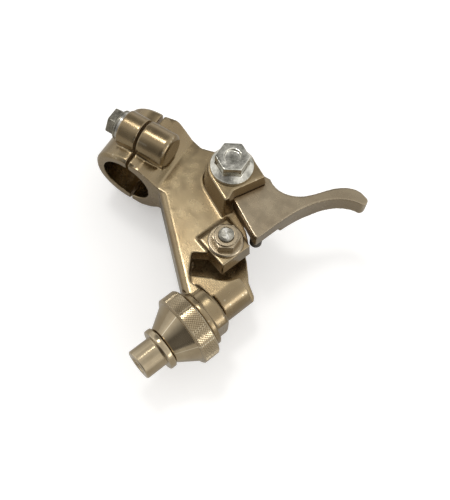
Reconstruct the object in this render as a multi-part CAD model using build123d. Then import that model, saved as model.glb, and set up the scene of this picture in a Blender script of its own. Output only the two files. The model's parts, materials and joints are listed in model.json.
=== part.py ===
from build123d import *
import os
from math import cos, pi, radians, sin

# Handlebar perch that carries a clutch-lever pivot, a short auxiliary lever and a cable adjuster.
# Millimetres. X runs along the handlebar, Y points forward from the bar, and Z is up.
# The origin is on the bar's axis, in the plane of the two clamp bolts.

# --- bar clamp ---------------------------------------------------------------------------------
BAR_RADIUS = 11.1            # 7/8 inch handlebar
CLAMP_X = (-14.8, 13.2)
CLAMP_OUTER = 15.4
SPLIT_Y = 1.5
SPLIT_GAP = 1.2
CLAMP_BOLT_Z = 17.0
CLAMP_BOSS_RADIUS = 7.6
CLAMP_BOSS_Y = (-7.6, 14.8)  # washer seat on the cap, closed end on the perch

# --- perch plate -------------------------------------------------------------------------------
PLATE_Z = (-8.0, 9.0)
RAIL_START = (13.2, 16.8)    # outer edge of the arm that runs out to the cable boss
RAIL_END = (44.2, 47.8)
RAIL_ROUND = 2.8

# --- clutch-lever pivot and cable line -----------------------------------------------------------
CLUTCH_PIVOT = (19.5, 52.3)
CABLE_ANGLE = -19.0          # direction of the cable line, from +X
CABLE_OFFSET = 15.4          # from the clutch pivot to the cable line
SLOT_Z = (-5.5, 2.0)         # gap that takes the clutch lever
SLOT_RADIUS = 13.2           # room for the clutch lever's hub
LOWER_EAR_Z = -12.0
EAR_TOP = 11.5
EAR_FRONT = 7.3              # the ear's edges, across and along the cable line from the pivot
EAR_SIDE = 7.5
EAR_REAR = -6.3
WEB = (12.4, -5.4)           # corner of the plate between the ear and the rail
RAIL_INNER = (18.6, 0.6)     # end of the rail's inner edge
BLOCK_START = 3.5            # closed part of the cable channel
BLOCK_INNER = 5.5
BLOCK_FRONT = 21.8
BLOCK_TOP = 3.8
BEVEL_Z = -5.6               # where the bevel of the lower front edge begins
SHELF_EDGE = ((12.4, 5.4), (18.0, -0.2))
SHELF_TOP = 4.4
SHOULDER = ((20.4, 3.5), (19.4, 9.5), (24.2, 9.5))   # where the rail widens to meet the boss
BOSS_START = 18.2            # along the cable line from the clutch pivot
BOSS_END = 26.4
BOSS_RADIUS = 11.4
BOSS_FLAT = 9.4              # from the cable line to the flat on the boss's front
BOSS_RIM_RADIUS = 12.2
BOSS_RIM = 2.2
BOSS_ROUND = 1.8

# --- auxiliary lever -----------------------------------------------------------------------------
LEVER_PIVOT = (-6.0, 39.2)
LEVER_SLOT_Z = (9.4, 14.6)
LUG_TOP = 20.0
LUG_RADIUS = 11.4
LUG_DRAFT = 8.0
LEVER_TOP = 14.0
HUB_BOTTOM = 10.0
HUB_RADIUS = 7.4
BLADE_BOTTOM = 6.8
BLADE_INNER = 11.8           # the thick blade starts at this radius from the pivot
RIB_BOTTOM = 3.4             # rib under the blade's inner edge
RIB_X = (6.4, -6.0, -18.0)   # its end, the end of its full depth, and where it runs out
RIB_Y = (24.0, 52.0)
LEVER_REST = 58.0            # direction of the flank that rests on the lug, from +X
NECK_SIDE = 4.2              # from the lever pivot to that flank
SLEEVE_RADIUS = 5.0
CABLE_PIN_AT = (14.9, 21.4)  # from the lever pivot
CABLE_PIN_RADIUS = 2.5
CABLE_PIN_SHANK = 2.2        # the part of the pin that is pressed into the lever
CABLE_PIN_END = 0.6
POCKET_OPENING = 97.0        # sector of the lug's pocket that the lever sweeps through

# --- adjuster, measured along the cable line from the wheel's back face -----------------------------
WHEEL_START = 27.0
RING_LENGTH = 7.5
RING_RADIUS = 14.9
CONE_RADIUS = 13.4
CONE_LENGTH = 8.4
NOSE_RADIUS = 7.8
COLLAR_RADIUS = 8.8
COLLAR_LENGTH = 2.8
TIP_RADIUS = 6.2
TIP_END = 28.2
THREAD_RADIUS = 5.0          # M10 x 1.5
SPIGOT_RADIUS = 8.0
SPIGOT_LENGTH = 5.0
BARREL_INNER = 17.0          # the barrel's inner end, from the clutch pivot
HOUSING_RADIUS = 3.5
HOUSING_DEPTH = 8.0
CABLE_HOLE_RADIUS = 1.3
DETENT_RADIUS = 9.4          # from the cable line to the detent ball
BALL_RADIUS = 1.0
KEY_AT = 5.2                 # the key screw, from the boss's inner end

# --- fasteners and small fits --------------------------------------------------------------------
RUNNING = 0.05               # radial clearance of every fit that turns or slides
THREAD_FIT = 0.02            # radial gap between a plain stand-in shank and its threaded hole
EDGE = 0.7                   # chamfer on the adjuster's rims
M6_RADIUS = 3.0
M6_CLEARANCE = 3.3
M8_RADIUS = 4.0
M8_CLEARANCE = 4.1
CLAMP_BOLT_LENGTH = 20.5
CLAMP_WASHER_RADIUS = 6.4
CLAMP_WASHER_THICKNESS = 1.2
CLAMP_SPOT_RADIUS = 7.0
CLAMP_BOSS_ROUND = 2.2
CLAMP_CHAMFER = 1.2
LEVER_BOLT_LENGTH = 34.0
LEVER_WASHER_RADIUS = 7.2
LEVER_NUT_SEAT_RADIUS = 9.4
LEVER_NUT_SEAT_DEPTH = 1.5
CLUTCH_WASHER_RADIUS = 7.2
CLUTCH_WASHER_THICKNESS = 1.4
CLUTCH_BOLT_BEYOND = 7.4     # how far the stud stands above the ear
KEY_SCREW_RADIUS = 2.0
KEY_TIP_RADIUS = 1.25
KEY_HEAD_DEPTH = 0.8
KEYWAY_WIDTH = 2.7
KEYWAY_LENGTH = 14.0
RING_GROOVE = (2.4, 3.6)     # retaining ring's groove, from the wheel's back face
RING_GROOVE_RADIUS = 9.0
RING_SEAT_RADIUS = 7.2       # bottom of the groove in the spigot
NOSE_BORE = 6.4              # counterbore of the wheel's nose, for the O-ring
NOSE_BORE_DEPTH = 2.6
DETENT_TRACK_DEPTH = 0.6
SPRING_LENGTH = 6.0
SPRING_RADIUS = 0.75
SPRING_WIRE = 0.18
SPRING_END = 8.3             # the spring's far end, before the wheel's back face
SEAL_RADII = (10.8, 11.8)
O_RING_RADIUS = 5.72
O_RING_WIRE = 0.62


def direction(angle):
    return Vector(cos(radians(angle)), sin(radians(angle)), 0)


ALONG = direction(CABLE_ANGLE)
ACROSS = direction(CABLE_ANGLE + 90)
PIVOT = Vector(*CLUTCH_PIVOT, 0)
UP = Vector(0, 0, 1)


def ear_point(along, across):
    """Plan position given along and across the cable line from the clutch pivot."""
    point = PIVOT + ALONG * along + ACROSS * across
    return (point.X, point.Y)


def lever_point(x, y):
    return (LEVER_PIVOT[0] + x, LEVER_PIVOT[1] + y)


def cable_plane(distance):
    """Plane square to the cable line: X across it, Y up, and Z towards the adjuster's tip."""
    origin = PIVOT + ALONG * distance + ACROSS * CABLE_OFFSET
    return Plane(origin=origin, x_dir=ACROSS, z_dir=ALONG)


def prism(points, low, high):
    """Upright solid on a plan outline."""
    return extrude(Plane.XY.offset(low) * make_face(Polyline(*points, close=True)), high - low)


def post(centre, radius, low, high):
    """Upright cylinder."""
    return Pos(centre[0], centre[1], low) * Cylinder(
        radius, high - low, align=(Align.CENTER, Align.CENTER, Align.MIN))


def rod_y(x, z, radius, back, front):
    """Cylinder along Y."""
    plane = Plane(origin=(x, back, z), x_dir=(1, 0, 0), z_dir=(0, 1, 0))
    return plane * Cylinder(radius, front - back, align=(Align.CENTER, Align.CENTER, Align.MIN))


def rod_x(radius, low, high):
    """Cylinder on the handlebar's axis."""
    plane = Plane(origin=(low, 0, 0), x_dir=(0, 1, 0), z_dir=(1, 0, 0))
    return plane * Cylinder(radius, high - low, align=(Align.CENTER, Align.CENTER, Align.MIN))


def cable_rod(radius, start, end):
    """Cylinder on the cable line, between two distances from the clutch pivot."""
    return cable_plane(start) * Cylinder(
        radius, end - start, align=(Align.CENTER, Align.CENTER, Align.MIN))


def cable_profile(points):
    """Solid of revolution on the cable line; points are (radius, distance from the wheel's back)."""
    plane = Plane(origin=PIVOT + ALONG * WHEEL_START + ACROSS * CABLE_OFFSET,
                  x_dir=UP, z_dir=UP.cross(ALONG))
    face = plane * make_face(Polyline(*points, close=True))
    return revolve(face, Axis(plane.origin, ALONG), 360)


def hex_prism(flats, height):
    side = flats / 2 / cos(pi / 6)
    return extrude(RegularPolygon(side, 6), height)


def clamp_bore():
    return rod_x(BAR_RADIUS, CLAMP_X[0] - 10, CLAMP_X[1] + 10)


def clamp_ring():
    ring = rod_x(CLAMP_OUTER, *CLAMP_X)
    return chamfer(ring.edges().filter_by(GeomType.CIRCLE), CLAMP_CHAMFER)


def clamp_half(back, front):
    """The part of the split clamp between two planes square to Y."""
    solid = clamp_ring()
    for side in (-1, 1):
        boss = rod_y(0, side * CLAMP_BOLT_Z, CLAMP_BOSS_RADIUS, *CLAMP_BOSS_Y)
        boss = fillet(boss.edges().filter_by(GeomType.CIRCLE).sort_by(Axis.Y)[-1], CLAMP_BOSS_ROUND)
        web = Pos(0, sum(CLAMP_BOSS_Y) / 2, side * (CLAMP_BOLT_Z - 5)) * Box(
            1.5 * CLAMP_BOSS_RADIUS, CLAMP_BOSS_Y[1] - CLAMP_BOSS_Y[0] - 3, 10)
        solid += boss + web
    keep = Pos(0, (back + front) / 2, 0) * Box(80, front - back, 80)
    return solid & keep


def clamp_cap():
    cap = clamp_half(-40, SPLIT_Y - SPLIT_GAP / 2) - clamp_bore()
    for side in (-1, 1):
        cap -= rod_y(0, side * CLAMP_BOLT_Z, M6_CLEARANCE, -20, 20)
        cap -= rod_y(0, side * CLAMP_BOLT_Z, CLAMP_SPOT_RADIUS, -30, CLAMP_BOSS_Y[0])
    return cap


def plate_outline():
    """Plan outline of the plate: clamp, lever lug, clutch ear, and the rail out to the boss."""
    split = SPLIT_Y + SPLIT_GAP / 2
    return [
        (CLAMP_X[0], split), (-15.9, 8.0), (-12.6, 21.0), (-16.6, 36.0), (-14.8, 45.0),
        (-8.0, 49.2), (3.0, 50.0), ear_point(EAR_REAR, EAR_FRONT), ear_point(EAR_SIDE, EAR_FRONT),
        ear_point(EAR_SIDE, -1.0), ear_point(*WEB), ear_point(*RAIL_INNER),
        *(ear_point(*point) for point in SHOULDER), RAIL_END, RAIL_START,
        (CLAMP_X[1], split),
    ]


def arm_profile():
    """Side profile that tapers from the deep clamp to the flat plate."""
    low, high = PLATE_Z
    split = SPLIT_Y + SPLIT_GAP / 2
    points = [(split, 14.2), (7, 14.2), (12, 11.6), (16, high), (75, high),
              (75, low), (16, low), (12, -11.6), (7, -14.2), (split, -14.2)]
    plane = Plane(origin=(-40, 0, 0), x_dir=(0, 1, 0), z_dir=(1, 0, 0))
    return extrude(plane * make_face(Polyline(*points, close=True)), 120)


def plate():
    arm = prism(plate_outline(), -16, 16) & arm_profile()
    rail = Vector(*RAIL_END, 0) - Vector(*RAIL_START, 0)
    run = rail.normalized()
    outer = []
    for edge in arm.edges():
        offset = edge.center() - Vector(*RAIL_START, 0)
        beside = abs(run.X * offset.Y - run.Y * offset.X) < 0.01
        level = min(abs(offset.Z - height) for height in PLATE_Z) < 0.01
        if beside and level and edge.length > rail.length / 2:
            outer.append(edge)
    return fillet(outer, RAIL_ROUND)


def ear_pad():
    """Raised pad of the clutch ear, with a ramp down to the plate on two sides."""
    low = Plane.XY.offset(SLOT_Z[1]) * make_face(Polyline(
        ear_point(EAR_REAR - 1, EAR_FRONT), ear_point(EAR_SIDE, EAR_FRONT),
        ear_point(EAR_SIDE, -15.0), ear_point(-14.0, -15.0), close=True))
    high = Plane.XY.offset(EAR_TOP) * make_face(Polyline(
        ear_point(EAR_REAR, EAR_FRONT), ear_point(EAR_SIDE, EAR_FRONT),
        ear_point(EAR_SIDE, -7.0), ear_point(EAR_REAR, -7.0), close=True))
    return loft([low, high], ruled=True)


def lower_ear():
    """Lower wall of the clutch-lever slot."""
    outline = [ear_point(EAR_REAR, -15), ear_point(EAR_REAR, EAR_FRONT), ear_point(-2.6, 12.6),
               ear_point(-1.2, 14.4), ear_point(1.0, 20.4), ear_point(2.4, BLOCK_FRONT),
               ear_point(BOSS_START + 2, BLOCK_FRONT), ear_point(BOSS_START + 2, 2),
               ear_point(EAR_SIDE, -10)]
    return prism(outline, LOWER_EAR_Z, SLOT_Z[0]) - bevel_wedge()


def channel_block():
    """Closed channel for the cable, between the clutch-lever slot and the boss."""
    top = BLOCK_TOP
    inner = BLOCK_INNER - CABLE_OFFSET
    outer = BLOCK_FRONT - CABLE_OFFSET
    crown = ThreePointArc((-6.6, top), (outer - 2.8, 1.6), (outer, BEVEL_Z + 0.6))
    sides = Polyline((outer, BEVEL_Z + 0.6), (outer, LOWER_EAR_Z), (inner, LOWER_EAR_Z), (inner, top),
                     (-6.6, top))
    block = extrude(cable_plane(BLOCK_START) * make_face(crown + sides), BOSS_START + 2 - BLOCK_START)
    return block - bevel_wedge()


def shelf():
    """Solid corner between the rail, the channel and the boss."""
    end = BOSS_START + 1.5
    outline = [ear_point(EAR_SIDE, -1.0), ear_point(*WEB), ear_point(*RAIL_INNER), ear_point(end, 3.0),
               ear_point(end, 2 * BLOCK_INNER), ear_point(EAR_SIDE, 2 * BLOCK_INNER)]
    return prism(outline, LOWER_EAR_Z, SHELF_TOP)


def bevel_wedge():
    """Wedge that bevels the lower front edge along the cable line."""
    outer = BLOCK_FRONT - CABLE_OFFSET
    triangle = Polyline((outer + 3, BEVEL_Z + 2.5), (outer - 7.5, LOWER_EAR_Z - 2.6),
                        (outer + 3, LOWER_EAR_Z - 2.6), close=True)
    return extrude(cable_plane(-20) * make_face(triangle), 50)


def cable_boss():
    boss = cable_rod(BOSS_RADIUS, BOSS_START, BOSS_END)
    boss = fillet(boss.edges().sort_by(Axis((PIVOT.X, PIVOT.Y, 0), (ALONG.X, ALONG.Y, 0)))[0], BOSS_ROUND)
    flat = CABLE_OFFSET + BOSS_FLAT
    boss -= prism([ear_point(0, flat), ear_point(BOSS_END, flat), ear_point(BOSS_END, 2 * flat),
                   ear_point(0, 2 * flat)], -BOSS_RADIUS, BOSS_RADIUS)
    boss += cable_rod(BOSS_RIM_RADIUS, BOSS_END - BOSS_RIM, BOSS_END)
    boss += cable_rod(SPIGOT_RADIUS, BOSS_END - 1, WHEEL_START + SPIGOT_LENGTH)
    return boss


def lug():
    """Clevis for the auxiliary lever: a drafted block with a square front and a tail."""
    tail = [(0, 0), (-9.1, 6.8), (-4.0, 15.7), (8.9, 7.8), (12.6, 8.2), (16.6, 6.2), (9.7, -6.0)]
    low = PLATE_Z[1] - 2
    face = Plane.XY.offset(low) * (Circle(LUG_RADIUS) + make_face(Polyline(*tail, close=True)))
    block = extrude(face, LUG_TOP - low, taper=LUG_DRAFT)
    return Pos(*LEVER_PIVOT, 0) * block


def lever_pocket():
    """Space in the lug for the lever's hub and neck through their whole travel."""
    pocket = post(LEVER_PIVOT, HUB_RADIUS + 0.4, *LEVER_SLOT_Z)
    reach = 40
    stop = direction(LEVER_REST)
    swung = direction(LEVER_REST + POCKET_OPENING)
    side = direction(LEVER_REST - 90) * (NECK_SIDE + RUNNING)
    points = [side - stop * 2, side + stop * reach, swung * reach, swung * 2 - stop]
    pocket += prism([lever_point(p.X, p.Y) for p in points], *LEVER_SLOT_Z)
    return pocket


def blade_clearance():
    """Space in front of the lug that the thick blade sweeps through."""
    reach = 60
    start = direction(LEVER_REST)
    side = direction(LEVER_REST - 90) * (NECK_SIDE + 0.5)
    ring = post(LEVER_PIVOT, reach, BLADE_BOTTOM - 0.6, LEVER_SLOT_Z[1])
    ring -= post(LEVER_PIVOT, BLADE_INNER - 0.6, BLADE_BOTTOM - 1, LUG_TOP)
    far = direction(LEVER_REST + POCKET_OPENING + 3)
    sector = [side + start * 4, side + start * 2 * reach, far * 2 * reach, far * 4]
    return ring & prism([lever_point(p.X, p.Y) for p in sector], -20, 40)


def perch_body():
    body = plate()
    body += ear_pad()
    body += clamp_half(SPLIT_Y + SPLIT_GAP / 2, 40)
    body += lug()
    body += lower_ear()
    body += channel_block()
    body += shelf()
    body += cable_boss()
    body -= clamp_bore()
    body -= clutch_slot()
    body -= underside_pocket()
    body -= lever_pocket()
    body -= blade_clearance()
    for side in (-1, 1):
        body -= rod_y(0, side * CLAMP_BOLT_Z, M6_RADIUS + THREAD_FIT, 0, CLAMP_BOSS_Y[1] - 2.5)
    body -= post(LEVER_PIVOT, M8_CLEARANCE, -40, 40)
    body -= post(LEVER_PIVOT, LEVER_NUT_SEAT_RADIUS, -40, PLATE_Z[0] + LEVER_NUT_SEAT_DEPTH)
    body -= post(CLUTCH_PIVOT, M6_RADIUS + 2 * RUNNING, -40, 40)
    body -= cable_rod(THREAD_RADIUS + RUNNING, BARREL_INNER - 1, WHEEL_START + 20)
    body -= cable_rod(CABLE_HOLE_RADIUS + 0.5, 0, BARREL_INNER)
    body -= key_hole()
    body -= detent_hole()
    body -= spigot_groove()
    return body


def clutch_slot():
    """Gap for the clutch lever: round about its pivot and open to the front and to the far side."""
    slot = post(CLUTCH_PIVOT, SLOT_RADIUS, *SLOT_Z)
    outline = [ear_point(6.5, -8.0), ear_point(BLOCK_START, EAR_FRONT), ear_point(BLOCK_START, 40),
               ear_point(-60, 40), ear_point(-60, -6), ear_point(-8, -6)]
    beside = [ear_point(EAR_REAR, -8.0), ear_point(EAR_SIDE + 1, -8.0), ear_point(EAR_SIDE + 1, 8.0),
              ear_point(EAR_REAR, 8.0)]
    return slot + prism(outline, *SLOT_Z) + prism(beside, *SLOT_Z) + window()


def window():
    """Opening round the clutch ear, between the rail, the shelf and the channel."""
    outline = [ear_point(EAR_SIDE, -1.0), ear_point(*WEB), ear_point(*SHELF_EDGE[1]),
               ear_point(*SHELF_EDGE[0]), ear_point(EAR_SIDE, 9.0)]
    beside = [ear_point(EAR_SIDE, 0), ear_point(14, 0), ear_point(14, 14), ear_point(-8, 14),
              ear_point(-8, EAR_FRONT), ear_point(EAR_SIDE, EAR_FRONT)]
    hub = post(CLUTCH_PIVOT, SLOT_RADIUS, SLOT_Z[0], 30) & prism(beside, SLOT_Z[0], 30)
    return prism(outline, SLOT_Z[0], 30) + hub


def underside_pocket():
    """Hollow that lightens the plate from below."""
    outline = [(-7.5, 17.5), (9.5, 19.0), (22.5, 32.0), (16.0, 36.5), (8.5, 33.0), (-2.0, 26.0)]
    pocket = prism(outline, PLATE_Z[0] - 5, 2.0)
    upright = pocket.edges().filter_by(Axis.Z)
    return fillet(upright, 2.0)


def key_hole():
    """Threaded hole for the key screw, from below into the boss."""
    x, y = ear_point(BOSS_START + KEY_AT, CABLE_OFFSET)
    return post((x, y), KEY_SCREW_RADIUS + THREAD_FIT, LOWER_EAR_Z - 3, 0)


def detent_hole():
    plane = cable_plane(WHEEL_START - SPRING_END - 0.3)
    rod = Cylinder(BALL_RADIUS + RUNNING, 8, align=(Align.CENTER, Align.CENTER, Align.MIN))
    return plane * Pos(-DETENT_RADIUS, 0, 0) * rod


def spigot_groove():
    start, end = (WHEEL_START + edge for edge in RING_GROOVE)
    return cable_rod(SPIGOT_RADIUS + 2, start, end) - cable_rod(RING_SEAT_RADIUS, start - 1, end + 1)


# --- clamp fasteners -----------------------------------------------------------------------------
def flange_bolt(shank, length, flats, flange, flange_height, height):
    """Flange bolt with its seat at Z = 0, its head upward and its shank downward.
    shank is a radius, flats the width across the hexagon and flange a diameter."""
    head = hex_prism(flats, height)
    dome = Pos(0, 0, height - flats * 0.62) * Sphere(flats * 0.83)
    head = head & dome
    head += Cylinder(flange / 2, flange_height, align=(Align.CENTER, Align.CENTER, Align.MIN))
    skirt = Pos(0, 0, flange_height) * Cone(
        flange / 2 - 0.2, flats / 2, height * 0.22, align=(Align.CENTER, Align.CENTER, Align.MIN))
    head += skirt
    head -= Pos(0, 0, height - 0.9) * Cylinder(
        flats * 0.28, 2, align=(Align.CENTER, Align.CENTER, Align.MIN))
    stem = Pos(0, 0, -length) * Cylinder(
        shank, length + 0.5, align=(Align.CENTER, Align.CENTER, Align.MIN))
    stem = chamfer(stem.edges().sort_by(Axis.Z)[0], shank * 0.16)
    return head + stem


def clamp_seat(side, offset=0.0):
    """Plane on the cap's bolt seat, facing out of the clamp."""
    origin = (0, CLAMP_BOSS_Y[0] - offset, side * CLAMP_BOLT_Z)
    return Plane(origin=origin, x_dir=(1, 0, 0), z_dir=(0, -1, 0))


def clamp_washers():
    ring = Cylinder(
        CLAMP_WASHER_RADIUS, CLAMP_WASHER_THICKNESS, align=(Align.CENTER, Align.CENTER, Align.MIN))
    ring -= Cylinder(M6_CLEARANCE - 0.1, 5)
    return Compound(children=[clamp_seat(side) * ring for side in (-1, 1)])


def clamp_bolts():
    bolt = flange_bolt(M6_RADIUS, CLAMP_BOLT_LENGTH, 10.0, 12.8, 1.2, 5.0)
    return Compound(children=[clamp_seat(side, CLAMP_WASHER_THICKNESS) * bolt for side in (-1, 1)])


# --- auxiliary lever ------------------------------------------------------------------------------
def lever_outline():
    """Plan outline of the blade, from the lever pivot."""
    outer = Spline((-6.6, 14.6), (-4.2, 22.0), (-6.4, 28.4), (-18.2, 39.7), (-21.3, 47.2), (-20.4, 50.6))
    tip = ThreePointArc((-20.4, 50.6), (-18.2, 52.6), (-16.3, 50.2))
    inner = Spline((-16.3, 50.2), (-14.5, 43.9), (-4.7, 33.4), (8.2, 27.1), (18.9, 23.2))
    flank = direction(LEVER_REST)
    side = direction(LEVER_REST - 90) * NECK_SIDE
    left = [side + flank * 28.6, side + flank * 9]
    inner_end = (18.9, 23.2)
    edge = Polyline(inner_end, (left[0].X, left[0].Y), (left[1].X, left[1].Y), (-6.6, 9.0), (-6.6, 14.6))
    return outer + tip + inner + edge


def blade_rib():
    """Rib under the blade's inner edge, which runs out towards the tip."""
    start, level, end = RIB_X
    top = BLADE_BOTTOM + 1
    side = Polyline((start, top), (start, RIB_BOTTOM), (level, RIB_BOTTOM), (end, BLADE_BOTTOM), (end, top),
                    close=True)
    plane = Plane(origin=lever_point(0, RIB_Y[1]) + (0,), x_dir=(1, 0, 0), z_dir=(0, -1, 0))
    band = extrude(plane * make_face(side), RIB_Y[1] - RIB_Y[0])
    outline = extrude(make_face(lever_outline()), top - RIB_BOTTOM)
    return band & Pos(*LEVER_PIVOT, RIB_BOTTOM) * outline


def auxiliary_lever():
    blade = extrude(make_face(lever_outline()), LEVER_TOP - BLADE_BOTTOM)
    blade = Pos(*LEVER_PIVOT, BLADE_BOTTOM) * blade
    blade -= post(LEVER_PIVOT, BLADE_INNER, 0, HUB_BOTTOM)
    hub = post(LEVER_PIVOT, HUB_RADIUS, HUB_BOTTOM, LEVER_TOP)
    stop = direction(LEVER_REST)
    across = direction(LEVER_REST + 90)
    neck = [across * -NECK_SIDE, across * -NECK_SIDE + stop * 12, stop * 14 + across * 8,
            across * HUB_RADIUS]
    neck = prism([lever_point(p.X, p.Y) for p in neck], HUB_BOTTOM, LEVER_TOP)
    lever = blade + hub + neck + blade_rib()
    lever -= post(LEVER_PIVOT, SLEEVE_RADIUS + RUNNING, 0, 30)
    lever -= post(lever_point(*CABLE_PIN_AT), CABLE_PIN_SHANK, 0, LEVER_TOP - 2.5)
    return lever


def lever_pivot_bolt():
    bolt = flange_bolt(M8_RADIUS, LEVER_BOLT_LENGTH, 12.0, 17.4, 1.6, 8.0)
    return Pos(*LEVER_PIVOT, LUG_TOP) * bolt


def lever_pivot_sleeve():
    low, high = LEVER_SLOT_Z
    bore = post(LEVER_PIVOT, M8_RADIUS + RUNNING, low - 1, high + 1)
    return post(LEVER_PIVOT, SLEEVE_RADIUS, low, high) - bore


def lever_washer(low, high):
    bore = post(LEVER_PIVOT, SLEEVE_RADIUS + 2 * RUNNING, low - 1, high + 1)
    return post(LEVER_PIVOT, LEVER_WASHER_RADIUS, low, high) - bore


def lever_thrust_washer():
    return lever_washer(LEVER_SLOT_Z[0], HUB_BOTTOM - RUNNING)


def lever_wave_washer():
    return lever_washer(LEVER_TOP + RUNNING, LEVER_SLOT_Z[1])


def lock_nut(bore, flats, height, collar):
    """Nut with an unthreaded locking collar, its seat at Z = 0."""
    nut = hex_prism(flats, height) & (Pos(0, 0, height * 0.5) * Sphere(flats * 0.66))
    nut += Cylinder(flats * 0.46, height + collar, align=(Align.CENTER, Align.CENTER, Align.MIN))
    return nut - Cylinder(bore, 60)


def lever_pivot_nut():
    nut = Rot(180, 0, 0) * lock_nut(M8_RADIUS + THREAD_FIT, 13.0, 5.6, 1.8)
    return Pos(*LEVER_PIVOT, PLATE_Z[0] + LEVER_NUT_SEAT_DEPTH) * nut


def lever_cable_pin():
    """Shouldered pin under the lever's corner, for the eye of its cable."""
    x, y = lever_point(*CABLE_PIN_AT)
    journal = post((x, y), CABLE_PIN_RADIUS, CABLE_PIN_END, BLADE_BOTTOM)
    journal = chamfer(journal.edges().sort_by(Axis.Z)[0], 0.4)
    return journal + post((x, y), CABLE_PIN_SHANK, BLADE_BOTTOM - 1, LEVER_TOP - 2.5)


# --- clutch pivot fasteners -----------------------------------------------------------------------
def clutch_pivot_bolt():
    height = EAR_TOP - LOWER_EAR_Z + CLUTCH_BOLT_BEYOND
    bolt = Rot(180, 0, 0) * flange_bolt(M6_RADIUS, height, 10.0, 13.6, 1.4, 5.6)
    return Pos(*CLUTCH_PIVOT, LOWER_EAR_Z) * bolt


def clutch_pivot_washer():
    washer = post(CLUTCH_PIVOT, CLUTCH_WASHER_RADIUS, EAR_TOP, EAR_TOP + CLUTCH_WASHER_THICKNESS)
    washer = chamfer(washer.edges().sort_by(Axis.Z)[-1], 0.5)
    return washer - post(CLUTCH_PIVOT, M6_CLEARANCE - 0.1, 0, 40)


def clutch_pivot_nut():
    seat = EAR_TOP + CLUTCH_WASHER_THICKNESS
    return Pos(*CLUTCH_PIVOT, seat) * lock_nut(M6_RADIUS + THREAD_FIT, 10.0, 3.4, 1.0)


# --- cable adjuster -------------------------------------------------------------------------------
def adjuster_wheel():
    cone_end = RING_LENGTH + CONE_LENGTH
    bore = THREAD_RADIUS + RUNNING
    counterbore = SPIGOT_RADIUS + RUNNING
    profile = [(bore, SPIGOT_LENGTH + 0.4), (counterbore, SPIGOT_LENGTH + 0.4), (counterbore, 0),
               (RING_RADIUS - EDGE, 0), (RING_RADIUS, EDGE), (RING_RADIUS, RING_LENGTH - EDGE),
               (RING_RADIUS - EDGE, RING_LENGTH), (CONE_RADIUS, RING_LENGTH), (NOSE_RADIUS, cone_end),
               (NOSE_BORE, cone_end), (NOSE_BORE, cone_end - NOSE_BORE_DEPTH),
               (bore, cone_end - NOSE_BORE_DEPTH)]
    wheel = cable_profile(profile)
    start, end = RING_GROOVE
    groove = [(SPIGOT_RADIUS, start), (RING_GROOVE_RADIUS, start), (RING_GROOVE_RADIUS, end),
              (SPIGOT_RADIUS, end)]
    wheel -= cable_profile(groove)
    detent_track = [(DETENT_RADIUS - 1.3, -1), (DETENT_RADIUS + 1.3, -1),
                    (DETENT_RADIUS + 0.6, DETENT_TRACK_DEPTH), (DETENT_RADIUS - 0.6, DETENT_TRACK_DEPTH)]
    return wheel - cable_profile(detent_track)


def adjuster_barrel():
    seat = RING_LENGTH + CONE_LENGTH + 0.2
    collar_end = seat + COLLAR_LENGTH
    inner_end = BARREL_INNER - WHEEL_START
    profile = [(CABLE_HOLE_RADIUS, inner_end), (THREAD_RADIUS, inner_end), (THREAD_RADIUS, seat),
               (COLLAR_RADIUS - 0.8, seat), (COLLAR_RADIUS, seat + 0.8),
               (COLLAR_RADIUS, collar_end - 0.9), (COLLAR_RADIUS - 0.9, collar_end),
               (TIP_RADIUS, collar_end), (TIP_RADIUS, TIP_END - 0.6), (TIP_RADIUS - 0.6, TIP_END),
               (HOUSING_RADIUS, TIP_END), (HOUSING_RADIUS, TIP_END - HOUSING_DEPTH),
               (CABLE_HOLE_RADIUS, TIP_END - HOUSING_DEPTH)]
    barrel = cable_profile(profile)
    keyway_start = WHEEL_START + inner_end - 1
    keyway = cable_plane(keyway_start) * Pos(0, -THREAD_RADIUS, 6.0) * Box(KEYWAY_WIDTH, 4.0, KEYWAY_LENGTH)
    return barrel - keyway


def adjuster_key_screw():
    """Dog-point screw in the boss whose tip rides in the barrel's keyway."""
    x, y = ear_point(BOSS_START + KEY_AT, CABLE_OFFSET)
    head = LOWER_EAR_Z + KEY_HEAD_DEPTH
    screw = post((x, y), KEY_SCREW_RADIUS, head, -THREAD_RADIUS - 0.4)
    screw += post((x, y), KEY_TIP_RADIUS, -6, -3.6)
    slot = Pos(x, y, head) * Box(5, 0.7, 1.6)
    return screw - slot


def adjuster_retaining_ring():
    start = WHEEL_START + RING_GROOVE[0] + RUNNING
    ring = cable_rod(RING_GROOVE_RADIUS - 0.1, start, start + 1.0)
    ring -= cable_rod(RING_SEAT_RADIUS + 0.1, start - 1, start + 3)
    gap = cable_plane(start - 1) * Pos(0, 8, 1.5) * Box(2.4, 5, 6)
    return ring - gap


def detent_ball():
    return cable_plane(WHEEL_START - 0.7) * Pos(-DETENT_RADIUS, 0, 0) * Sphere(BALL_RADIUS)


def detent_spring():
    spring = Helix(1.0, SPRING_LENGTH, SPRING_RADIUS)
    wire = Plane(origin=spring @ 0, z_dir=spring % 0) * Circle(SPRING_WIRE)
    coil = sweep(wire, path=spring)
    return cable_plane(WHEEL_START - SPRING_END) * Pos(-DETENT_RADIUS, 0, 0) * coil


def wheel_seal():
    """Soft ring that fills the gap between the boss and the wheel."""
    start = BOSS_END + THREAD_FIT
    inner, outer = SEAL_RADII
    return cable_rod(outer, start, WHEEL_START - RUNNING) - cable_rod(inner, start - 1, WHEEL_START + 1)


def barrel_seal():
    """O-ring in the wheel's nose, round the barrel."""
    middle = WHEEL_START + RING_LENGTH + CONE_LENGTH - NOSE_BORE_DEPTH / 2
    return cable_plane(middle) * Torus(O_RING_RADIUS, O_RING_WIRE)


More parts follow.
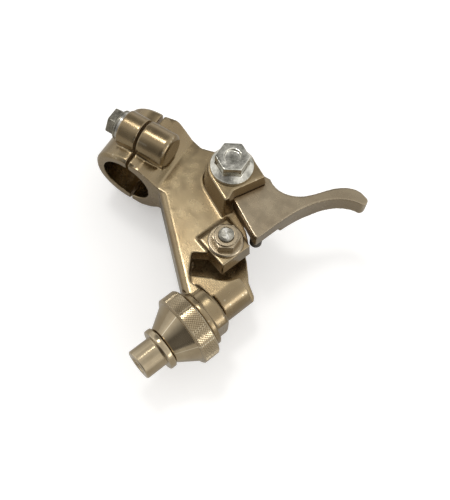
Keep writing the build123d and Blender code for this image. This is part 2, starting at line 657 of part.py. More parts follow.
NODES = {
    "perch_body": perch_body,
    "clamp_cap": clamp_cap,
    "clamp_bolts": clamp_bolts,
    "clamp_washers": clamp_washers,
    "auxiliary_lever": auxiliary_lever,
    "lever_pivot_bolt": lever_pivot_bolt,
    "lever_pivot_sleeve": lever_pivot_sleeve,
    "lever_thrust_washer": lever_thrust_washer,
    "lever_wave_washer": lever_wave_washer,
    "lever_pivot_nut": lever_pivot_nut,
    "lever_cable_pin": lever_cable_pin,
    "clutch_pivot_bolt": clutch_pivot_bolt,
    "clutch_pivot_washer": clutch_pivot_washer,
    "clutch_pivot_nut": clutch_pivot_nut,
    "adjuster_wheel": adjuster_wheel,
    "adjuster_barrel": adjuster_barrel,
    "adjuster_key_screw": adjuster_key_screw,
    "adjuster_retaining_ring": adjuster_retaining_ring,
    "detent_ball": detent_ball,
    "detent_spring": detent_spring,
    "wheel_seal": wheel_seal,
    "barrel_seal": barrel_seal,
}

os.makedirs("parts", exist_ok=True)
for name, make in NODES.items():
    export_step(make(), f"parts/{name}.step")
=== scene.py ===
import json
import math

import bmesh
import bpy
from mathutils import Matrix, Vector


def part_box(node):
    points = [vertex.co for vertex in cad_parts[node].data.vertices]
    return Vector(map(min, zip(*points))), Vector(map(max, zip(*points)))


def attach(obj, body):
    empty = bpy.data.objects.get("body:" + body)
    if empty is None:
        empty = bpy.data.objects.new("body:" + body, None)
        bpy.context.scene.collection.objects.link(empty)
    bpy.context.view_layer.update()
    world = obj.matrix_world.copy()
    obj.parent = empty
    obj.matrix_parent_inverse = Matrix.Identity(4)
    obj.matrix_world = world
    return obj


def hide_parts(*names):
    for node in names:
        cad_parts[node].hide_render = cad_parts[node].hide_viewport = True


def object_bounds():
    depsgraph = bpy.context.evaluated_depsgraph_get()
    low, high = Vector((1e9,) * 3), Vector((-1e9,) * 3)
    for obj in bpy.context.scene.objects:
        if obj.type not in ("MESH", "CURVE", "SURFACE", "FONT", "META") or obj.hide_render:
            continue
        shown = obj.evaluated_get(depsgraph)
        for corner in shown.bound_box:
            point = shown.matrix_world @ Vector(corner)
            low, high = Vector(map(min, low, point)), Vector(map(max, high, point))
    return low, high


# Looks for the handlebar perch: castings and fasteners get softened edges, the adjuster a real
# knurl and thread, and every part a procedural material. The scene is in metres; outlines and
# named sizes are in millimetres, and MM turns them into metres.

MM = 0.001
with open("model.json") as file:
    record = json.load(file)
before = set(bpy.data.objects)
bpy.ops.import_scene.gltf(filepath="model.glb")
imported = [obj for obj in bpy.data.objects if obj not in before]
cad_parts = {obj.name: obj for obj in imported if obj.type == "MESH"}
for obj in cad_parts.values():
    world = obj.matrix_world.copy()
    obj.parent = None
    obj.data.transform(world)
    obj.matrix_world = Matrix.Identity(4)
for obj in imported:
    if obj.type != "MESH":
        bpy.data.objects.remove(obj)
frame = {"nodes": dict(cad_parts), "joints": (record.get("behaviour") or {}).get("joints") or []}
cad_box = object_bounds()
NODES = frame["nodes"]
JOINTS = {joint["name"]: joint for joint in frame["joints"]}

# --- sizes shared with the CAD drawing, in millimetres -------------------------------------------
RING_LENGTH = 7.5
RING_RADIUS = 14.9
CONE_RADIUS = 13.4
CONE_LENGTH = 8.4
NOSE_RADIUS = 7.8
SPIGOT_RADIUS = 8.05
SPIGOT_LENGTH = 5.4
COLLAR_RADIUS = 8.8
COLLAR_LENGTH = 2.8
COLLAR_GAP = 0.2             # between the wheel's nose and the collar
TIP_RADIUS = 6.2
TIP_END = 28.16
TIP_ROUND = 0.7
THREAD_RADIUS = 5.0
THREAD_PITCH = 1.5
THREAD_DEPTH = 0.85
RUNNING_FIT = 0.05
BARREL_INNER = -10.0
NOSE_BORE = 6.4              # recess in the wheel's nose that holds the barrel's O-ring
NOSE_BORE_DEPTH = 2.6
RING_GROOVE_RADIUS = 9.0     # groove for the snap ring inside the wheel
RING_GROOVE = (2.4, 3.6)
HOUSING_RADIUS = 3.5
HOUSING_DEPTH = 8.0
CABLE_HOLE = 1.3
DETENT_RADIUS = 9.4
TRACK_HALF_WIDTH = 1.2
TRACK_DEPTH = 0.6
STUD_RADIUS = 3.0
STUD_PITCH = 1.0
STUD_DEPTH = 0.5
STUD_CHAMFER = 0.75
PINHOLE = 0.01               # innermost ring of a closed end


# --- node helpers --------------------------------------------------------------------------------
class Nodes:
    """Short ways to add and wire nodes in the tree of one material or world."""

    def __init__(self, tree, coordinates):
        self.tree = tree
        self.coords = self.node("ShaderNodeTexCoord").outputs[coordinates]

    def node(self, kind, **values):
        node = self.tree.nodes.new(kind)
        for key, value in values.items():
            setattr(node, key, value)
        return node

    def link(self, source, target):
        self.tree.links.new(source, target)

    def put(self, source, target):
        """Wires a socket, or writes a plain value."""
        if isinstance(source, bpy.types.NodeSocket):
            self.link(source, target)
        elif hasattr(target.default_value, "__len__") and len(target.default_value) == 4:
            target.default_value = (*source, 1.0)
        else:
            target.default_value = source

    def noise(self, scale, detail=2.0, vector=None):
        """Noise with about so many features to each unit of its coordinates."""
        node = self.node("ShaderNodeTexNoise")
        self.link(vector or self.coords, node.inputs["Vector"])
        node.inputs["Scale"].default_value = scale
        node.inputs["Detail"].default_value = detail
        return node.outputs["Fac"]

    def ramp(self, factor, stops):
        """Colour that runs through (position, colour) stops."""
        node = self.node("ShaderNodeValToRGB")
        elements = node.color_ramp.elements
        while len(elements) < len(stops):
            elements.new(0.5)
        for element, (position, colour) in zip(elements, stops):
            element.position = position
            element.color = (*colour, 1.0)
        self.link(factor, node.inputs["Fac"])
        return node.outputs["Color"]

    def span(self, value, low, high, to_low, to_high):
        """Maps a value that runs from low to high, and holds it at both ends."""
        node = self.node("ShaderNodeMapRange")
        self.link(value, node.inputs["Value"])
        for key, number in (("From Min", low), ("From Max", high), ("To Min", to_low), ("To Max", to_high)):
            node.inputs[key].default_value = number
        return node.outputs["Result"]

    def mix(self, factor, first, second, blend="MIX"):
        node = self.node("ShaderNodeMix", data_type="RGBA", blend_type=blend)
        self.put(factor, node.inputs[0])
        self.put(first, node.inputs[6])
        self.put(second, node.inputs[7])
        return node.outputs[2]

    def maths(self, operation, first, second):
        node = self.node("ShaderNodeMath", operation=operation)
        self.put(first, node.inputs[0])
        self.put(second, node.inputs[1])
        return node.outputs[0]


class Surroundings(Nodes):
    """The world and its nodes."""

    def __init__(self, name):
        world = bpy.data.worlds.new(name)
        bpy.context.scene.world = world
        world.use_nodes = True
        super().__init__(world.node_tree, "Generated")
        self.background = self.tree.nodes["Background"]

    def facing(self, direction):
        """1 straight towards a direction, 0 at right angles to it."""
        node = self.node("ShaderNodeVectorMath", operation="DOT_PRODUCT")
        self.link(self.coords, node.inputs[0])
        node.inputs[1].default_value = Vector(direction).normalized()
        return node.outputs["Value"]


class Shader(Nodes):
    """One Principled material and its nodes."""

    def __init__(self, name):
        self.material = bpy.data.materials.new(name)
        self.material.use_nodes = True
        super().__init__(self.material.node_tree, "Object")
        self.surface = self.tree.nodes["Principled BSDF"]

    def set(self, name, source):
        self.put(source, self.surface.inputs[name])

    def bump(self, height, depth, strength, under=None):
        """Raised detail of a depth in metres, on top of other detail if there is any."""
        node = self.node("ShaderNodeBump")
        self.link(height, node.inputs["Height"])
        node.inputs["Distance"].default_value = depth
        node.inputs["Strength"].default_value = strength
        if under is not None:
            self.link(under, node.inputs["Normal"])
        return node.outputs["Normal"]

    def edge(self, low, high):
        """0 on flats and hollows, 1 on worn edges."""
        pointiness = self.node("ShaderNodeNewGeometry").outputs["Pointiness"]
        return self.span(pointiness, low, high, 0.0, 1.0)

    def hollow(self, reach, dark):
        """Ambient occlusion: 1 in the open, falling to dark in crevices; the metals paint shade with it."""
        node = self.node("ShaderNodeAmbientOcclusion", samples=8)
        node.inputs["Distance"].default_value = reach
        return self.span(node.outputs["AO"], 0.10, 0.90, dark, 1.0)


# --- camera and light ----------------------------------------------------------------------------
VIEW_BACK = Vector((0.36808, 0.18004, 0.91220))      # from the part towards the camera
VIEW_RIGHT = Vector((-0.52052, 0.85283, 0.04171))
CAMERA_AT = Vector((133.74, 108.28, 286.43)) * MM
LENS = 55.84
SENSOR = 36.0
CLIP_START = 0.01
DARK_SIDE = (0.93, 0.05, 0.30)                       # low down, past the adjuster's end
DARK_CEILING = (-0.62, -0.40, 0.67)                  # high up, behind the clamp
SIDE_SHADES = ((0.60, (1.0, 0.985, 0.96)), (0.95, (0.16, 0.15, 0.14)))
SOFTBOX_WHITE = (1.0, 0.99, 0.97)
FLOOR_HALF = 2.0                                     # half of its side, in metres
FLOOR_SHADES = ((0.3, (0.90, 0.90, 0.90)), (0.7, (0.93, 0.93, 0.93)))
FLOOR_IN_METAL = (0.60, 0.575, 0.53)                 # what the polished parts reflect of it
FLOOR_LIFT = 0.30                                    # faint glow that keeps it pale


def add_camera():
    """Camera at the photo's viewing angle."""
    right = VIEW_RIGHT.normalized()
    back = VIEW_BACK.normalized()
    up = back.cross(right)
    data = bpy.data.cameras.new("view")
    data.lens = LENS
    data.sensor_fit = "VERTICAL"
    data.sensor_height = SENSOR
    data.clip_start = CLIP_START
    camera = bpy.data.objects.new("view", data)
    camera.matrix_world = Matrix((
        (right.x, up.x, back.x, CAMERA_AT.x),
        (right.y, up.y, back.y, CAMERA_AT.y),
        (right.z, up.z, back.z, CAMERA_AT.z),
        (0, 0, 0, 1)))
    bpy.context.scene.collection.objects.link(camera)
    bpy.context.scene.camera = camera


def add_area(name, azimuth, elevation, distance, size, power):
    """Softbox that faces the part from a direction in degrees; metres and watts."""
    centre = (cad_box[0] + cad_box[1]) / 2
    az, el = math.radians(azimuth), math.radians(elevation)
    towards = Vector((math.cos(az) * math.cos(el), math.sin(az) * math.cos(el), math.sin(el)))
    data = bpy.data.lights.new(name, "AREA")
    data.shape = "RECTANGLE"
    data.size, data.size_y = size
    data.energy = power
    data.color = SOFTBOX_WHITE
    light = bpy.data.objects.new(name, data)
    light.location = centre + towards * distance
    light.rotation_euler = towards.to_track_quat("Z", "Y").to_euler()
    bpy.context.scene.collection.objects.link(light)


def add_world():
    """Pale, slightly patchy surroundings, darker at DARK_SIDE and DARK_CEILING."""
    world = Surroundings("studio")
    tint = world.ramp(world.facing(DARK_SIDE), SIDE_SHADES)
    patches = world.span(world.noise(1.9, 1.0), 0.36, 0.64, 0.80, 1.10)
    shade = world.span(world.facing(DARK_CEILING), 0.88, 0.955, 1.0, 0.42)
    world.put(tint, world.background.inputs["Color"])
    world.put(world.maths("MULTIPLY", patches, shade), world.background.inputs["Strength"])


def add_floor():
    """Pale level sheet under the part; polished metal reflects it a little darker."""
    low = cad_box[0]
    centre = (cad_box[0] + cad_box[1]) / 2
    corners = [(-FLOOR_HALF, -FLOOR_HALF), (FLOOR_HALF, -FLOOR_HALF),
               (FLOOR_HALF, FLOOR_HALF), (-FLOOR_HALF, FLOOR_HALF)]
    mesh = bpy.data.meshes.new("floor")
    mesh.from_pydata([(centre.x + x, centre.y + y, low.z) for x, y in corners], [], [(0, 1, 2, 3)])
    floor = bpy.data.objects.new("floor", mesh)
    bpy.context.scene.collection.objects.link(floor)
    shader = Shader("pale_floor")
    tint = shader.ramp(shader.noise(6.0, 3.0), FLOOR_SHADES)
    mirrored = shader.node("ShaderNodeLightPath").outputs["Is Glossy Ray"]
    direct = shader.maths("SUBTRACT", 1.0, mirrored)
    shader.set("Base Color", shader.mix(mirrored, tint, FLOOR_IN_METAL))
    shader.set("Emission Color", (1.0, 1.0, 1.0))
    shader.set("Emission Strength", shader.maths("MULTIPLY", direct, FLOOR_LIFT))
    shader.set("Roughness", 0.9)
    floor.data.materials.append(shader.material)


# --- materials -----------------------------------------------------------------------------------
WARM_LIGHT = (0.340, 0.268, 0.158)
WARM_DEEP = (0.245, 0.180, 0.098)
WARM_WORN = (0.66, 0.59, 0.46)
TURNED_WORN = (0.88, 0.80, 0.63)
STEEL_WORN = (0.80, 0.79, 0.75)

# Painted shade: tints that darken the colour from the bottom of a crevice out to the open surface.
CAST_CREVICE_SHADE = ((0.0, (0.95, 0.80, 0.60)), (0.42, (0.90, 0.83, 0.72)), (0.85, (1, 1, 1)))
TURNED_CREVICE_SHADE = ((0.30, (0.30, 0.21, 0.12)), (0.80, (1, 1, 1)))
STEEL_CREVICE_SHADE = ((0.0, (0.22, 0.18, 0.13)), (1.0, (1, 1, 1)))


def lacquer(shader):
    """Thin clear film over the bare metal."""
    shader.set("Coat Weight", 0.5)
    shader.set("Coat Roughness", 0.10)


def cast_metal(name, light, deep, rough, grain):
    """Satin cast aluminium: mottled tint, fine skin, brighter rubbed edges, and shade painted into the
    hollows, which are also less metallic and rougher.
    """
    shader = Shader(name)
    mottle = shader.noise(62.0, 5.0)
    colour = shader.ramp(mottle, ((0.30, deep), (0.72, light)))
    speck = shader.span(shader.noise(1500.0, 3.0), 0.62, 0.74, 0.0, 0.35)
    colour = shader.mix(speck, colour, deep)
    edges = shader.edge(0.515, 0.60)
    colour = shader.mix(shader.maths("MULTIPLY", edges, 0.35), colour, WARM_WORN)
    # Painted shade: ambient occlusion darkens the colour in crevices, and there the metal is also made less
    # metallic and rougher.
    open_air = shader.hollow(11.0 * MM, 0.0)
    shader.set("Base Color", shader.mix(1.0, colour, shader.ramp(open_air, CAST_CREVICE_SHADE), "MULTIPLY"))
    shader.set("Metallic", shader.span(open_air, 0.05, 0.45, 0.25, 1.0))
    smear = shader.span(shader.noise(240.0, 4.0), 0.3, 0.7, rough - 0.06, rough + 0.07)
    smear = shader.maths("ADD", smear, shader.span(open_air, 0.05, 0.45, 0.20, 0.0))
    shader.set("Roughness", shader.maths("SUBTRACT", smear, shader.maths("MULTIPLY", edges, 0.08)))
    wave = shader.bump(shader.noise(130.0, 2.0), 0.10 * MM, 0.40)
    shader.set("Normal", shader.bump(shader.noise(2300.0, 3.0), 0.035 * MM, grain, wave))
    lacquer(shader)
    return shader.material


def turned_metal(name, light, deep, rough):
    """Lathe-turned aluminium: fine rings along the axis over a slightly uneven tint, with shade painted
    into its crevices.
    """
    shader = Shader(name)
    mapping = shader.node("ShaderNodeMapping", vector_type="POINT")
    mapping.inputs["Rotation"].default_value = cable_matrix().to_3x3().inverted().to_euler()
    shader.link(shader.coords, mapping.inputs["Vector"])
    split = shader.node("ShaderNodeSeparateXYZ")
    shader.link(mapping.outputs["Vector"], split.inputs["Vector"])
    join = shader.node("ShaderNodeCombineXYZ")
    shader.link(split.outputs["Z"], join.inputs["Z"])
    rings = shader.noise(2600.0, 2.0, join.outputs["Vector"])
    broad = shader.noise(420.0, 3.0, join.outputs["Vector"])
    colour = shader.ramp(shader.noise(110.0, 4.0), ((0.30, deep), (0.70, light)))
    colour = shader.mix(shader.span(broad, 0.35, 0.65, 0.0, 0.30), colour, deep)
    edges = shader.edge(0.52, 0.62)
    colour = shader.mix(shader.maths("MULTIPLY", edges, 0.7), colour, TURNED_WORN)
    # Painted shade: ambient occlusion darkens the colour in crevices.
    open_air = shader.hollow(1.2 * MM, 0.55)
    shader.set("Base Color", shader.mix(1.0, colour, shader.ramp(open_air, TURNED_CREVICE_SHADE), "MULTIPLY"))
    shader.set("Metallic", 1.0)
    shader.set("Roughness", shader.span(broad, 0.3, 0.7, rough - 0.05, rough + 0.06))
    shader.set("Normal", shader.bump(rings, 0.012 * MM, 0.5))
    lacquer(shader)
    return shader.material


def plated_steel(name, light, deep, rough, dents=0.2):
    """Plated steel: cloudy tint, faint scuffs, worn corners, small dents, and shade painted into its
    crevices.
    """
    shader = Shader(name)
    cloud = shader.noise(260.0, 4.0)
    colour = shader.ramp(cloud, ((0.32, deep), (0.68, light)))
    edges = shader.edge(0.53, 0.66)
    colour = shader.mix(shader.maths("MULTIPLY", edges, 0.6), colour, STEEL_WORN)
    # Painted shade: ambient occlusion darkens the colour in crevices.
    open_air = shader.hollow(1.2 * MM, 0.4)
    shader.set("Base Color", shader.mix(1.0, colour, shader.ramp(open_air, STEEL_CREVICE_SHADE), "MULTIPLY"))
    shader.set("Metallic", 1.0)
    shader.set("Roughness", shader.span(shader.noise(900.0, 3.0), 0.3, 0.7, rough - 0.06, rough + 0.08))
    dented = shader.bump(shader.noise(620.0, 2.0), 0.10 * MM, dents)
    shader.set("Normal", shader.bump(shader.noise(1800.0, 2.0), 0.02 * MM, 0.4, dented))
    return shader.material


def black_oxide(name):
    """Blackened steel with a little bare metal at its corners."""
    shader = Shader(name)
    cloud = shader.noise(500.0, 4.0)
    colour = shader.ramp(cloud, ((0.3, (0.012, 0.011, 0.010)), (0.7, (0.05, 0.045, 0.04))))
    colour = shader.mix(shader.maths("MULTIPLY", shader.edge(0.53, 0.64), 0.5), colour, (0.30, 0.28, 0.25))
    shader.set("Base Color", colour)
    shader.set("Metallic", 0.7)
    shader.set("Roughness", shader.span(cloud, 0.3, 0.7, 0.34, 0.52))
    shader.set("Normal", shader.bump(shader.noise(2400.0, 2.0), 0.02 * MM, 0.4))
    return shader.material


def sintered_bronze(name):
    """Porous bearing bronze."""
    shader = Shader(name)
    pores = shader.noise(2800.0, 3.0)
    colour = shader.ramp(pores, ((0.35, (0.20, 0.12, 0.05)), (0.55, (0.50, 0.33, 0.14))))
    shader.set("Base Color", colour)
    shader.set("Metallic", 1.0)
    shader.set("Roughness", shader.span(pores, 0.3, 0.7, 0.55, 0.38))
    shader.set("Normal", shader.bump(pores, 0.03 * MM, 0.5))
    return shader.material


def seal_rubber(name):
    """Matt black rubber with some dust on it."""
    shader = Shader(name)
    dust = shader.noise(700.0, 4.0)
    colour = shader.ramp(dust, ((0.35, (0.008, 0.008, 0.008)), (0.75, (0.035, 0.033, 0.030))))
    shader.set("Base Color", colour)
    shader.set("Specular IOR Level", 0.15)
    shader.set("Roughness", shader.span(dust, 0.3, 0.7, 0.65, 0.85))
    shader.set("Normal", shader.bump(shader.noise(3000.0, 2.0), 0.02 * MM, 0.5))
    return shader.material


# --- mesh helpers --------------------------------------------------------------------------------
SHARP_ANGLE = math.radians(28)       # edges sharper than this are shaded as edges


def place(name, mesh, body, node, material):
    """Puts a finished mesh in the scene as a piece that stands for one CAD node."""
    piece = bpy.data.objects.new(name, mesh)
    bpy.context.scene.collection.objects.link(piece)
    piece.data.materials.clear()
    piece.data.materials.append(material)
    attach(piece, body)
    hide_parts(node)


def finished(source, *modifiers):
    """Mesh that results from a list of (kind, settings) modifiers on a copy of a mesh."""
    work = bpy.data.objects.new("work", source.copy())
    bpy.context.scene.collection.objects.link(work)
    for kind, settings in modifiers:
        modifier = work.modifiers.new(kind, kind)
        for key, value in settings.items():
            setattr(modifier, key, value)
    graph = bpy.context.evaluated_depsgraph_get()
    mesh = bpy.data.meshes.new_from_object(work.evaluated_get(graph))
    bpy.data.objects.remove(work)
    return mesh


def welded(node):
    """Copy of a CAD node's mesh with its seams joined."""
    mesh = NODES[node].data.copy()
    shape = bmesh.new()
    shape.from_mesh(mesh)
    bmesh.ops.remove_doubles(shape, verts=shape.verts, dist=1e-6)
    shape.to_mesh(mesh)
    shape.free()
    return mesh


def softened(mesh, voxel, passes):
    """Evenly remeshed copy whose edges are rounded by about a voxel for every few passes."""
    result = finished(
        mesh,
        ("REMESH", {"mode": "VOXEL", "voxel_size": voxel * MM, "use_smooth_shade": True}),
        ("SMOOTH", {"factor": 0.5, "iterations": passes}))
    for polygon in result.polygons:
        polygon.use_smooth = True
    return result


def below(mesh, height):
    """The part of a mesh below a level plane, closed where it is cut."""
    shape = bmesh.new()
    shape.from_mesh(mesh)
    geometry = shape.verts[:] + shape.edges[:] + shape.faces[:]
    cut = bmesh.ops.bisect_plane(shape, geom=geometry, dist=1e-7, plane_co=(0, 0, height),
                                 plane_no=(0, 0, 1), clear_outer=True)
    rim = [item for item in cut["geom_cut"] if isinstance(item, bmesh.types.BMEdge)]
    bmesh.ops.holes_fill(shape, edges=rim)
    shape.to_mesh(mesh)
    shape.free()
    return mesh


def joined(*meshes):
    """One mesh from several."""
    shape = bmesh.new()
    for mesh in meshes:
        shape.from_mesh(mesh)
    result = bpy.data.meshes.new("joined")
    shape.to_mesh(result)
    shape.free()
    return result


def grid_mesh(name, rows, matrix, split=None):
    """Closed tube from rings of points, the last ring joined to the first.
    split(ring, column) says which of a quad's diagonals is cut, or None to keep it whole."""
    count = len(rows[0])
    points = [matrix @ Vector(point) for ring in rows for point in ring]
    faces = []
    for r in range(len(rows)):
        following = (r + 1) % len(rows)
        for c in range(count):
            d = (c + 1) % count
            quad = (r * count + c, r * count + d, following * count + d, following * count + c)
            first = split(r, c) if split else None
            if first is None:
                faces.append(quad)
            else:
                faces.append((quad[first], quad[first + 1], quad[(first + 2) % 4]))
                faces.append((quad[first], quad[(first + 2) % 4], quad[(first + 3) % 4]))
    mesh = bpy.data.meshes.new(name)
    mesh.from_pydata(points, [], faces)
    for polygon in mesh.polygons:
        polygon.use_smooth = True
    shape = bmesh.new()
    shape.from_mesh(mesh)
    bmesh.ops.recalc_face_normals(shape, faces=shape.faces)
    for edge in shape.edges:
        if len(edge.link_faces) == 2 and edge.calc_face_angle() > SHARP_ANGLE:
            edge.smooth = False
    shape.to_mesh(mesh)
    shape.free()
    return mesh


def circle(radius, height, count):
    """Ring of points round the local Z axis."""
    return [(radius * math.cos(2 * math.pi * c / count), radius * math.sin(2 * math.pi * c / count), height)
            for c in range(count)]


def rounded(profile, radius, steps=3):
    """Closed (radius, height) outline with its corners rounded, all in millimetres."""
    result = []
    count = len(profile)
    for i, corner in enumerate(profile):
        here = Vector(corner)
        before = Vector(profile[i - 1]) - here
        after = Vector(profile[(i + 1) % count]) - here
        cut = min(radius, before.length * 0.4, after.length * 0.4)
        start = here + before.normalized() * cut
        end = here + after.normalized() * cut
        for s in range(steps + 1):
            t = s / steps
            result.append(start.lerp(here, t).lerp(here.lerp(end, t), t))
    return result


# --- adjuster ------------------------------------------------------------------------------------
def cable_matrix():
    """Frame on the cable line: origin at the wheel's back face, Z towards the tip, in millimetres."""
    joint = JOINTS["wheel_turn"]
    along = -Vector(joint["axis"]).normalized()
    up = Vector((0, 0, 1))
    side = along.cross(up)
    origin = Vector(joint["pos_m"])
    basis = Matrix((
        (up.x, side.x, along.x, origin.x),
        (up.y, side.y, along.y, origin.y),
        (up.z, side.z, along.z, origin.z),
        (0, 0, 0, 1)))
    return basis @ Matrix.Diagonal((MM, MM, MM, 1))


KNURL_COUNT = 90             # diamonds round the ring
KNURL_STEP = 8               # mesh steps across one diamond
KNURL_DEPTH = 0.12
KNURL_ROWS = 5               # diamonds along the ring
KNURL_MARGIN = 0.7           # plain band at either end of the knurl
THREAD_STEPS = 10            # rings of mesh to one thread pitch
THREAD_SLOPE = 2.4           # steepness of a thread's flanks
THREAD_CREST = 0.15          # larger makes the flat on its crest wider


def on_knurl_groove(row, column):
    """True on the two families of crossing grooves."""
    return (row + column) % KNURL_STEP == 0 or (row - column) % KNURL_STEP == 0


def knurl_ring(row, height, columns):
    """One ring of points on the knurl, sunk where it crosses a groove."""
    ring = []
    for column in range(columns):
        radius = RING_RADIUS - (KNURL_DEPTH if on_knurl_groove(row, column) else 0.0)
        angle = 2 * math.pi * column / columns
        ring.append((radius * math.cos(angle), radius * math.sin(angle), height))
    return ring


def wheel_bore():
    """Outline of the wheel's inside, from its nose to the groove for the snap ring."""
    cone_end = RING_LENGTH + CONE_LENGTH
    seat = cone_end - NOSE_BORE_DEPTH
    bore = THREAD_RADIUS + RUNNING_FIT
    near, far = RING_GROOVE
    return rounded([(NOSE_BORE, cone_end), (NOSE_BORE, seat), (bore, seat), (bore, SPIGOT_LENGTH),
                    (SPIGOT_RADIUS, SPIGOT_LENGTH), (SPIGOT_RADIUS, far), (RING_GROOVE_RADIUS, far),
                    (RING_GROOVE_RADIUS, near), (SPIGOT_RADIUS, near), (SPIGOT_RADIUS, 0.0)], 0.15, 1)[2:-2]


def wheel_mesh(matrix):
    """Knurled ring and cone, with its bore and the detent's track in its back face."""
    columns = KNURL_STEP * KNURL_COUNT
    cone_end = RING_LENGTH + CONE_LENGTH
    track = [(DETENT_RADIUS - TRACK_HALF_WIDTH, 0.0), (DETENT_RADIUS - TRACK_HALF_WIDTH / 2, TRACK_DEPTH),
             (DETENT_RADIUS + TRACK_HALF_WIDTH / 2, TRACK_DEPTH), (DETENT_RADIUS + TRACK_HALF_WIDTH, 0.0)]
    rim = [(RING_RADIUS - 1.0, 0.0), (RING_RADIUS - 0.45, 0.15), (RING_RADIUS - KNURL_DEPTH, 0.6)]
    rings = [circle(radius, height, columns) for radius, height in wheel_bore() + track + rim]
    low, high = KNURL_MARGIN, RING_LENGTH - KNURL_MARGIN
    first_row = len(rings)
    rows = KNURL_ROWS * KNURL_STEP
    for row in range(rows + 1):
        rings.append(knurl_ring(row, low + (high - low) * row / rows, columns))
    front = rounded([(RING_RADIUS - KNURL_DEPTH, high + KNURL_DEPTH), (RING_RADIUS - 0.9, RING_LENGTH),
                     (CONE_RADIUS, RING_LENGTH), (NOSE_RADIUS, cone_end), (NOSE_BORE, cone_end)], 0.5, 4)
    rings += [circle(radius, height, columns) for radius, height in front[2:-2]]

    def split(ring, column):
        """Which way a quad is cut so that its cut follows a groove."""
        row = ring - first_row
        if not 0 <= row < rows:
            return None
        return 0 if (row - column) % KNURL_STEP == 0 else 1

    return grid_mesh("wheel", rings, matrix, split)


def helix_ring(radius, depth, pitch, height, count):
    """One ring of a screw thread's surface."""
    ring = []
    for c in range(count):
        turn = c / count
        phase = (height / pitch - turn) % 1.0
        sunk = min(1.0, max(0.0, THREAD_SLOPE * abs(phase - 0.5) - THREAD_CREST))
        reach = radius - depth * sunk
        x = reach * math.cos(2 * math.pi * turn)
        y = reach * math.sin(2 * math.pi * turn)
        ring.append((x, y, height))
    return ring


def thread_rings(radius, depth, pitch, low, high, count):
    """Rings of a screw thread that fades in and out over its first and last turn."""
    steps = round((high - low) / pitch * THREAD_STEPS)
    rings = []
    for s in range(steps + 1):
        height = low + (high - low) * s / steps
        fade = min(1.0, (height - low) / pitch, (high - height) / pitch)
        rings.append(helix_ring(radius, depth * max(fade, 0.0), pitch, height, count))
    return rings


def barrel_mesh(matrix):
    """Adjuster barrel: threaded shank, collar and tip, with the cable's hole and its housing's seat."""
    count = 96
    shank_end = RING_LENGTH + CONE_LENGTH + COLLAR_GAP
    collar_end = shank_end + COLLAR_LENGTH
    housing = TIP_END - HOUSING_DEPTH
    rings = [circle(CABLE_HOLE, BARREL_INNER, count), circle(THREAD_RADIUS - 0.7, BARREL_INNER, count)]
    rings += thread_rings(THREAD_RADIUS, THREAD_DEPTH, THREAD_PITCH,
                          BARREL_INNER + 0.6, shank_end - 0.4, count)
    outline = rounded([(THREAD_RADIUS, shank_end), (COLLAR_RADIUS, shank_end), (COLLAR_RADIUS, collar_end),
                       (TIP_RADIUS, collar_end), (TIP_RADIUS, TIP_END), (HOUSING_RADIUS, TIP_END),
                       (HOUSING_RADIUS, housing), (CABLE_HOLE, housing)], TIP_ROUND, 4)[3:-3]
    rings += [circle(radius, height, count) for radius, height in outline]
    rings.append(circle(CABLE_HOLE, housing, count))
    return grid_mesh("barrel", rings, matrix)


def stud_end(centre, low, high):
    """Threaded end of the clutch pivot bolt, from inside the nut to its chamfered tip."""
    count = 48
    rings = [circle(PINHOLE, low, count), circle(STUD_RADIUS - 0.1, low, count)]
    rings += thread_rings(STUD_RADIUS, STUD_DEPTH, STUD_PITCH, low + 0.3, high - 0.5, count)
    rings.append(circle(STUD_RADIUS - 0.15, high - 0.42, count))
    rings.append(circle(STUD_RADIUS - STUD_CHAMFER, high, count))
    rings.append(circle(PINHOLE, high, count))
    matrix = Matrix.Translation((centre.x, centre.y, 0)) @ Matrix.Diagonal((MM, MM, MM, 1))
    return grid_mesh("stud_end", rings, matrix)


# --- the object ----------------------------------------------------------------------------------
def build_materials():
    """Every finish under a short name."""
    return {
        "cast": cast_metal("cast_aluminium", WARM_LIGHT, WARM_DEEP, 0.24, 0.55),
        "lever": cast_metal("polished_cast", (0.375, 0.312, 0.215), (0.26, 0.205, 0.135), 0.25, 0.40),
        "turned": turned_metal("turned_aluminium", (0.56, 0.475, 0.33), (0.38, 0.305, 0.195), 0.13),
        "zinc": plated_steel("zinc_steel", (0.40, 0.38, 0.32), (0.15, 0.142, 0.115), 0.22, 0.5),
        "chrome": plated_steel("chrome_steel", (0.80, 0.785, 0.71), (0.24, 0.235, 0.20), 0.12, 1.0),
        "spring": plated_steel("spring_steel", (0.42, 0.42, 0.41), (0.28, 0.28, 0.27), 0.30),
        "black": black_oxide("black_steel"),
        "bronze": sintered_bronze("bronze_bush"),
        "rubber": seal_rubber("seal_rubber"),
    }


def place_softened(name, node, material, voxel, passes, body="perch"):
    """Shows one CAD node as a piece with softened edges; the voxel is in millimetres."""
    place(name, softened(welded(node), voxel, passes), body, node, material)


def build_castings(materials):
    """Perch, clamp cap and auxiliary lever."""
    place_softened("perch_casting", "perch_body", materials["cast"], 0.30, 9)
    place_softened("cap_casting", "clamp_cap", materials["cast"], 0.30, 9)
    place_softened("lever_casting", "auxiliary_lever", materials["lever"], 0.28, 9,
                   body="lever")


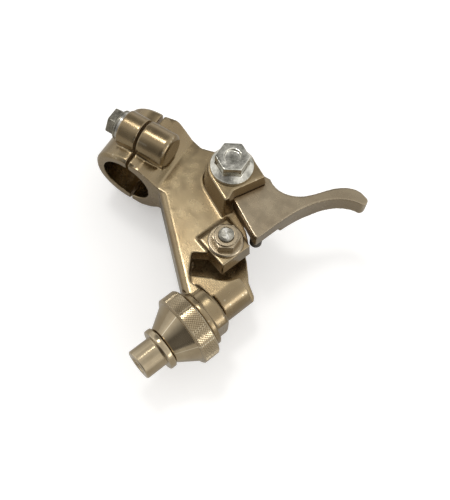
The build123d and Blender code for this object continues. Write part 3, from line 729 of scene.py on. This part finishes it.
def build_fasteners(materials):
    """Bolts, nuts and the large washer, apart from the clutch pivot bolt."""
    place_softened("pivot_flange_bolt", "lever_pivot_bolt", materials["chrome"], 0.17, 4)
    place_softened("clamp_flange_bolts", "clamp_bolts", materials["zinc"], 0.17, 3)
    place_softened("stud_lock_nut", "clutch_pivot_nut", materials["lever"], 0.12, 4)
    place_softened("stud_washer", "clutch_pivot_washer", materials["lever"], 0.12, 3)
    place_softened("pivot_lock_nut", "lever_pivot_nut", materials["zinc"], 0.14, 3)


def build_stud(materials):
    """The clutch pivot bolt, its upper end threaded from just inside its washer."""
    low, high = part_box("clutch_pivot_bolt")
    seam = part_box("clutch_pivot_washer")[0].z
    lower = softened(below(welded("clutch_pivot_bolt"), seam + 0.5 * MM), 0.16, 3)
    upper = stud_end((low + high) / 2, seam / MM, high.z / MM)
    place("clutch_stud", joined(lower, upper), "perch", "clutch_pivot_bolt", materials["zinc"])


def build_adjuster(materials):
    """The knurled wheel and the barrel that slides out as it turns."""
    matrix = cable_matrix()
    place("knurled_wheel", wheel_mesh(matrix), "wheel", "adjuster_wheel",
          materials["turned"])
    place("threaded_barrel", barrel_mesh(matrix), "barrel", "adjuster_barrel",
          materials["turned"])


def finish_small_parts(materials):
    """Materials for the CAD nodes that are shown as they are."""
    looks = {
        "clamp_washers": "zinc", "lever_pivot_sleeve": "bronze", "lever_thrust_washer": "bronze",
        "lever_wave_washer": "spring", "lever_cable_pin": "black",
        "adjuster_key_screw": "black", "adjuster_retaining_ring": "spring", "detent_ball": "chrome",
        "detent_spring": "spring", "wheel_seal": "rubber", "barrel_seal": "rubber",
    }
    for node, look in looks.items():
        mesh = NODES[node].data
        mesh.materials.clear()
        mesh.materials.append(materials[look])


add_camera()
add_world()
add_floor()
add_area("overhead_strip", -124, 70.5, 0.9, (0.17, 0.15), 1.2)
add_area("front_softbox", 88, 18, 1.0, (0.50, 0.24), 1.0)
add_area("side_softbox", -80, 36, 1.0, (0.22, 0.10), 0.06)
bpy.context.scene.view_settings.view_transform = "Standard"

MATERIALS = build_materials()
build_castings(MATERIALS)
build_fasteners(MATERIALS)
build_stud(MATERIALS)
build_adjuster(MATERIALS)
finish_small_parts(MATERIALS)
